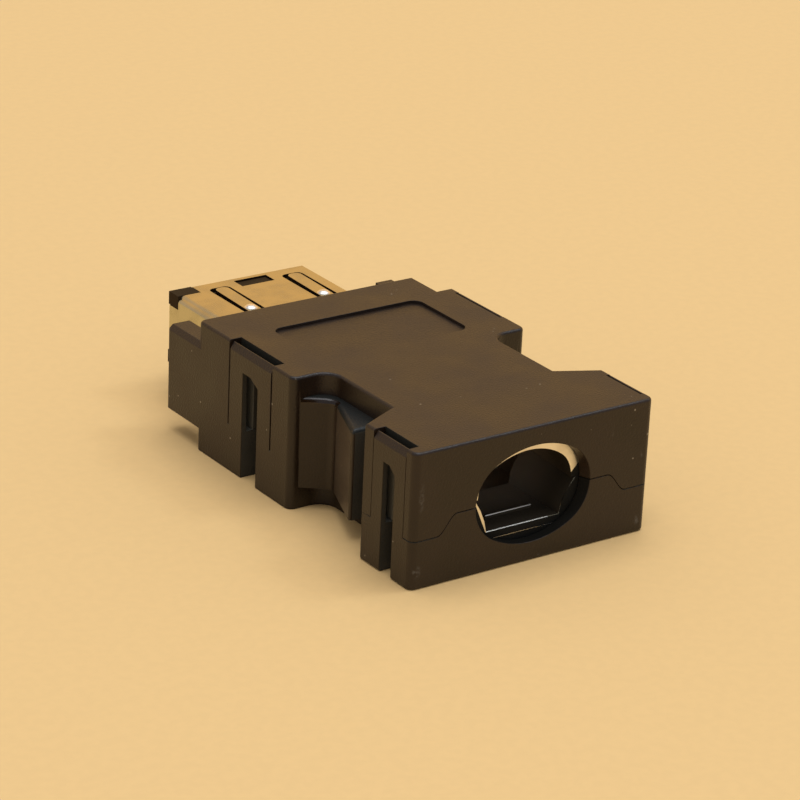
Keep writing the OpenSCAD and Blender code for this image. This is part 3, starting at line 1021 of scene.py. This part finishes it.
@dataclass
class ContactHousing(Solid):
    """The moulded housing of the contacts. The lugs in the shell's windows lie below the shell's face."""

    lug_x: Span = (-0.65, 2.65)
    lug_y: Span = (40.6, 42.2)
    lug_low: float = 2.95
    lug_drop: float = 0.15

    def shape(self) -> None:
        """Lowers the middle lugs and breaks all sharp edges."""
        for vert in self.mesh.verts:
            side = vert.co.z - self.axis_z
            along = self.lug_x[0] < vert.co.x < self.lug_x[1] and self.lug_y[0] < vert.co.y < self.lug_y[1]
            if along and abs(side) > self.lug_low:
                vert.co.z -= math.copysign(self.lug_drop, side)
        super().shape()


@dataclass(frozen=True)
class Lamp:
    """A square area lamp that faces the connector. Its lengths are in metres."""

    name: str
    place: Point
    size: float
    level: float
    colour: Colour

    def hang(self) -> None:
        """Hangs the lamp and aims it at the origin."""
        data = bpy.data.lights.new(self.name, "AREA")
        data.shape = "SQUARE"
        data.size = self.size
        data.energy = self.level * math.pi * self.size**2
        data.color = self.colour
        lamp = bpy.data.objects.new(self.name, data)
        aim = Vector(self.place).to_track_quat("Z", "Y").to_matrix().to_4x4()
        lamp.matrix_world = Matrix.Translation(self.place) @ aim
        bpy.context.scene.collection.objects.link(lamp)


@dataclass(frozen=True)
class PalePaper(Finish):
    """Matt paper with a faint fibre, whose width is in metres."""

    colour: Colour
    mottle: Span = (0.985, 1.01)
    smooth: float = 0.8
    rough: float = 0.9
    gloss: float = 0.1
    fibre: float = 0.9 * MM

    def draw(self, graph: Graph) -> Inputs:
        """Draws the paper.

        Args:
            graph: the material's graph.

        Returns:
            The shader's inputs.
        """
        fibre = graph.noise(graph.place(), self.fibre, detail=4.0)
        dull, pale = (tuple(c * share for c in self.colour) for share in self.mottle)
        return {
            "Base Color": graph.mix(graph.span(fibre, *self.COMMON), dull, pale),
            "Roughness": graph.span(fibre, *self.COMMON, self.smooth, self.rough),
            "Specular IOR Level": self.gloss,
        }


@dataclass
class Studio:
    """The floor, the light and the camera. Its lengths are in metres and its angles in degrees."""

    paper: PalePaper = PalePaper("warm_paper", (0.863, 0.578, 0.262))
    floor_half: float = 2.5
    sweep_colour: Colour = (1.0, 0.595, 0.235)
    sweep_way: Point = (0.576, 0.817, 0.0)
    sweep_side: Span = (0.15, 0.5)
    sweep_top: Span = (0.52, 0.72)
    wall_colour: Colour = (0.42, 0.43, 0.47)
    fill_colour: Colour = (0.515, 0.515, 0.515)
    lamps: tuple[Lamp, ...] = (
        Lamp("soft_box", (0.1, 0.0, 1.8), 1.5, 2.4, (0.97, 0.98, 1.0)),
        Lamp("window", (0.99, -0.36, 1.5), 0.36, 9.0, (0.80, 0.90, 1.0)),
    )
    eye: Point = (-0.13992, -0.19864, 0.10718)
    azimuth: float = 35.63
    elevation: float = 22.71
    roll: float = 2.69
    # Focal length and sensor width in mm, as Blender's cameras have them
    lens: float = 147.06
    sensor: float = 36.0
    clip_start: float = 0.01

    def lay_floor(self) -> None:
        """Lays the paper floor."""
        mesh = bmesh.new()
        bmesh.ops.create_grid(mesh, x_segments=1, y_segments=1, size=self.floor_half)
        data = bpy.data.meshes.new("floor")
        mesh.to_mesh(data)
        mesh.free()
        data.materials.append(self.paper.material())
        floor = bpy.data.objects.new("floor", data)
        bpy.context.scene.collection.objects.link(floor)

    def room(self, graph: Graph) -> Socket:
        """Draws what mirrors see: a warm sweep behind the connector and cool walls elsewhere.

        Args:
            graph: the world's graph.

        Returns:
            The colour in each direction.
        """
        way = graph.add("ShaderNodeTexCoord").outputs["Generated"]
        parts = graph.add("ShaderNodeSeparateXYZ")
        graph.feed(parts.inputs["Vector"], way)
        towards = graph.add("ShaderNodeVectorMath", operation="DOT_PRODUCT")
        graph.feed(towards.inputs[0], way)
        graph.feed(towards.inputs[1], self.sweep_way)
        behind = graph.span(towards.outputs["Value"], *self.sweep_side)
        low = graph.span(parts.outputs["Z"], *self.sweep_top, 1.0, 0.0)
        return graph.mix(graph.calc("MULTIPLY", behind, low), self.wall_colour, self.sweep_colour)

    def light(self) -> None:
        """Hangs a large soft lamp overhead and a small cool one, in a room with an even fill."""
        for lamp in self.lamps:
            lamp.hang()
        world = bpy.data.worlds.new("room")
        bpy.context.scene.world = world
        world.use_nodes = True
        graph = Graph(world.node_tree)
        path = graph.add("ShaderNodeLightPath")
        seen = graph.calc("MAXIMUM", path.outputs["Is Camera Ray"], path.outputs["Is Glossy Ray"])
        seen = graph.calc("MAXIMUM", seen, path.outputs["Is Transmission Ray"])
        background = graph.add("ShaderNodeBackground")
        graph.feed(background.inputs["Color"], graph.mix(seen, self.fill_colour, self.room(graph)))
        output = graph.add("ShaderNodeOutputWorld")
        graph.feed(output.inputs["Surface"], background.outputs["Background"])

    def set_camera(self) -> None:
        """Sets up the camera at the photograph's place, angle and focal length."""
        data = bpy.data.cameras.new("camera")
        data.lens = self.lens
        data.sensor_width = self.sensor
        data.clip_start = self.clip_start
        camera = bpy.data.objects.new("camera", data)
        turn = Matrix.Rotation(math.radians(-self.azimuth), 4, "Z")
        tilt = Matrix.Rotation(math.radians(90.0 - self.elevation), 4, "X")
        roll = Matrix.Rotation(math.radians(self.roll), 4, "Z")
        camera.matrix_world = Matrix.Translation(self.eye) @ turn @ tilt @ roll
        bpy.context.scene.collection.objects.link(camera)
        bpy.context.scene.camera = camera

    def build(self) -> None:
        """Sets the stage and the plain colour transform."""
        self.set_camera()
        self.lay_floor()
        self.light()
        bpy.context.scene.view_settings.view_transform = "Standard"


@dataclass
class CoverPair:
    """The two moulded covers, with the boxes of their rounds, crisp edges and finishes."""

    frame: dict
    seam_close: float = 0.058
    arm_headroom: float = 0.1
    scuffs: tuple[Scuff, ...] = (
        Scuff((-10.65, 0.0, 1.5), (0.55, 0.3, 0.7), 0.9),
        Scuff((-10.45, 0.0, 7.5), (0.35, 0.3, 1.6), 0.55),
        Scuff((10.3, 0.0, 1.1), (0.45, 0.3, 0.5), 0.9),
        Scuff((10.3, 0.0, 6.7), (0.2, 0.3, 0.6), 0.6),
        Scuff((7.3, 0.0, 9.1), (0.15, 0.3, 0.5), 0.5),
        Scuff((0.7, 0.0, 0.3), (0.3, 0.3, 0.2), 0.5),
        Scuff((-11.2, 16.2, 3.4), (0.2, 0.3, 0.8), 0.6),
    )
    top_edges: Box = Box((0.0, -1.0, 11.2), (12.0, 31.0, 11.2))
    grip_top_edges: Box = Box((7.5, 9.3, 9.4), (10.5, 16.65, 9.4), whole=False)
    upper_flank: Box = Box((11.1, 6.5, 4.0), (11.3, 6.7, 11.3))
    foot_side: Box = Box((11.2, -0.1, 0.0), (11.2, 6.7, 0.0))
    foot_corner: Box = Box((10.5, -0.1, 0.0), (11.2, 0.7, 0.0))
    bottom_edges: Box = Box((0.0, -1.0, 0.0), (12.0, 36.0, 0.0))
    lower_flank: Box = Box((11.1, 6.5, 0.0), (11.3, 6.7, 4.1))
    label_recess: Box = Box((0.0, 18.5, 10.9), (7.3, 26.3, 11.2))
    notch_tops: tuple[Box, ...] = (
        Box((10.0, 1.0, 11.0), (11.15, 5.6, 11.2), whole=False),
        Box((10.0, 19.3, 11.0), (11.15, 26.0, 11.2), whole=False),
    )
    rear_slits: tuple[Box, ...] = (
        Box((10.6, 1.1, 3.0), (11.2, 1.4, 11.2)),
        Box((10.6, 5.2, 3.0), (11.2, 5.5, 11.2)),
    )
    pocket_walls: tuple[Box, ...] = (
        Box((10.11, 1.0, 3.9), (10.16, 5.6, 11.2)),
        Box((10.11, 19.0, 3.9), (10.16, 26.0, 11.2)),
        Box((10.2, 1.0, 3.95), (10.7, 5.6, 3.99)),
        Box((10.2, 19.0, 3.95), (10.7, 26.0, 3.99)),
    )
    windows: tuple[Box, ...] = (
        Box((9.0, 2.5, -0.1), (11.1, 4.1, 9.1)),
        Box((9.0, 21.5, -0.1), (11.1, 23.8, 9.2)),
    )
    grip_end: Box = Box((8.0, 9.38, 1.8), (10.6, 9.42, 9.4))
    pockets: tuple[Box, ...] = (
        Box((9.8, 1.15, 3.9), (10.75, 5.45, 11.0)),
        Box((9.8, 19.5, 3.9), (10.75, 25.8, 11.0)),
    )
    hole_wall: Box = Box((0.0, 0.1, 1.5), (5.5, 0.85, 5.65))
    grip_tops: tuple[Box, ...] = (
        Box((7.6, 8.0, 9.4), (10.6, 16.62, 9.4)),
        Box((7.6, 8.0, 9.0), (10.6, 14.3, 9.37)),
    )
    grip_edges: Box = Box((7.6, 14.3, 9.0), (10.6, 16.62, 9.37))
    # Faces of the grips between flare and crease, which get painted light
    grip_flats: Box = Box((8.4, 10.0, 1.8), (10.4, 14.4, 9.1))

    def zones(self) -> tuple[Zone, ...]:
        """Pairs the places with painted light or shade, and the grips' polished edges, with their finishes.

        Returns:
            The zones. A face belongs to the first that takes it.
        """
        # Painted light: the pocket walls behind the windows pale towards the bottom, where they lie in shade.
        wall = FadedBlack("cover_black_walls", (0.030, 0.028, 0.022), (0.125, 0.118, 0.096),
                          (9.8, 8.6), Axis.Z)
        # Painted light: a paler dull black lifts the shade in the windows and on the grip's rear end.
        window = MouldedPlastic("cover_black_windows", (0.052, 0.048, 0.038), (0.062, 0.057, 0.046),
                                smooth=0.6, rough=0.7, dusty=0.0, gloss=0.05)
        # Painted shade: a darker dull black in the pockets behind the arms and on the cable hole's wall.
        pocket = MouldedPlastic("cover_black_pockets", (0.009, 0.0085, 0.007), (0.012, 0.011, 0.009),
                                smooth=0.6, rough=0.7, dusty=0.0, gloss=0.05)
        shaded = MouldedPlastic("cover_black_shaded", (0.017, 0.018, 0.017), (0.021, 0.022, 0.020),
                                gloss=0.25)
        polished = MouldedPlastic("cover_black_polished", smooth=0.17, rough=0.27, depth=0.002 * MM)
        # Painted light: a paler brown on the grips' faces between flare and crease, where more light falls.
        worn = MouldedPlastic("cover_black_worn", (0.060, 0.042, 0.027), (0.072, 0.051, 0.033))
        return (
            Zone(wall, self.pocket_walls),
            Zone(window, (*self.windows, self.grip_end)),
            Zone(pocket, (*self.pockets, self.hole_wall)),
            Zone(shaded, self.grip_tops),
            Zone(polished, (self.grip_edges,)),
            Zone(worn, (self.grip_flats,)),
        )

    def build(self) -> None:
        """Builds both covers."""
        upper_rounds = (
            Round((self.top_edges,), 0.24, 4),
            Round((self.grip_top_edges,), 0.4, 5),
            Round((self.upper_flank,), 0.07),
        )
        lower_rounds = (
            Round((self.foot_side, self.foot_corner), 0.25, 4),
            Round((self.bottom_edges,), 0.08),
            Round((self.lower_flank,), 0.07),
        )
        crisp = (self.label_recess, *self.notch_tops, *self.rear_slits)
        zones = self.zones()
        upper = Cover("upper_cover", Slot.COVER, "upper_cover_moulding", rounds=upper_rounds, crisp=crisp,
                      zones=zones, tight_drop=self.seam_close)
        lower = Cover("lower_cover", Slot.COVER, "lower_cover_moulding", rounds=lower_rounds, crisp=crisp,
                      zones=zones, headroom=self.arm_headroom)
        plastic = MouldedPlastic("cover_black", scuffs=self.scuffs)
        finishes = [plastic.material(), *(zone.finish.material() for zone in zones)]
        for cover in (upper, lower):
            cover.build(self.frame, *finishes)


@dataclass
class ShieldedPlug:
    """The plug inside the covers: its shell, the two shields, the contacts and their housing."""

    frame: dict
    ways: int = 5
    nickel: PlatedSheet = PlatedSheet("bright_nickel", (0.55, 0.51, 0.35), (0.49, 0.45, 0.30))
    # Painted glint: a paler, rougher nickel on the shields' rims and end plates and on the shell's dimples.
    bright: PlatedSheet = PlatedSheet(
        "bright_edge", (0.88, 0.85, 0.78), (0.80, 0.76, 0.68), smooth=0.3, rough=0.4
    )
    gold: PlatedSheet = PlatedSheet("contact_gold", (0.95, 0.70, 0.34), (0.85, 0.58, 0.25))
    # Painted shade: dark dull plastic on the walls of the shell's slits.
    cut_wall: MouldedPlastic = MouldedPlastic("cut_edge_dark", smooth=0.5, rough=0.65, dusty=0.0, gloss=0.1)
    # Painted shade inside the shields, dark at the rear; deeper in it pales as painted light where the inside
    # lies in deep shade.
    film: FadedBlack = FadedBlack(
        "insulating_film", (0.036, 0.029, 0.020), (0.50, 0.40, 0.30), (2.0, 12.0), Axis.Y
    )
    # Painted shade on the end plates' rears, outside their painted glints.
    plate: MouldedPlastic = MouldedPlastic(
        "end_plate_film", (0.009, 0.009, 0.008), (0.012, 0.012, 0.011),
        smooth=0.5, rough=0.6, dusty=0.0, gloss=0.1,
    )
    insulator: MouldedPlastic = MouldedPlastic(
        "insulator_black", (0.034, 0.021, 0.010), (0.041, 0.026, 0.013),
        smooth=0.4, rough=0.5, depth=0.003 * MM, gloss=0.02,
    )

    def build_metal(self) -> None:
        """Builds the plug's shell and the two shields."""
        nickel = self.nickel.material()
        bright = self.bright.material()
        shell = PlugShell("plug_shell", Slot.PLUG, "plug_shell_stamping", edge_break=0.012, steps=1)
        shell.build(self.frame, nickel, self.cut_wall.material(), bright)
        film = self.film.material()
        plate = self.plate.material()
        upper = UpperShield("upper_shield", Slot.SHIELD, "upper_shield_stamping", edge_break=0.03)
        lower = LowerShield("lower_shield", Slot.SHIELD, "lower_shield_stamping", edge_break=0.03)
        for shield in (upper, lower):
            shield.build(self.frame, nickel, film, bright, plate)

    def build_contacts(self) -> None:
        """Builds the contacts' housing and both rows of contacts."""
        housing = ContactHousing("contact_housing", Slot.INSULATOR, "contact_housing_moulding",
                                 edge_break=0.04)
        housing.build(self.frame, self.insulator.material())
        gold = self.gold.material()
        for row in ("upper", "lower"):
            for way in range(1, self.ways + 1):
                node = f"contact_{row}_{way}"
                Solid(node, Slot.CONTACT, f"{node}_spring", edge_break=0.02).build(self.frame, gold)


def main() -> None:
    """Builds the stage and the connector on its frame."""
    logging.basicConfig(level=logging.INFO, format="%(message)s")
    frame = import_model()
    Studio().build()
    CoverPair(frame).build()
    plug = ShieldedPlug(frame)
    plug.build_metal()
    plug.build_contacts()


if __name__ == "__main__":
    main()
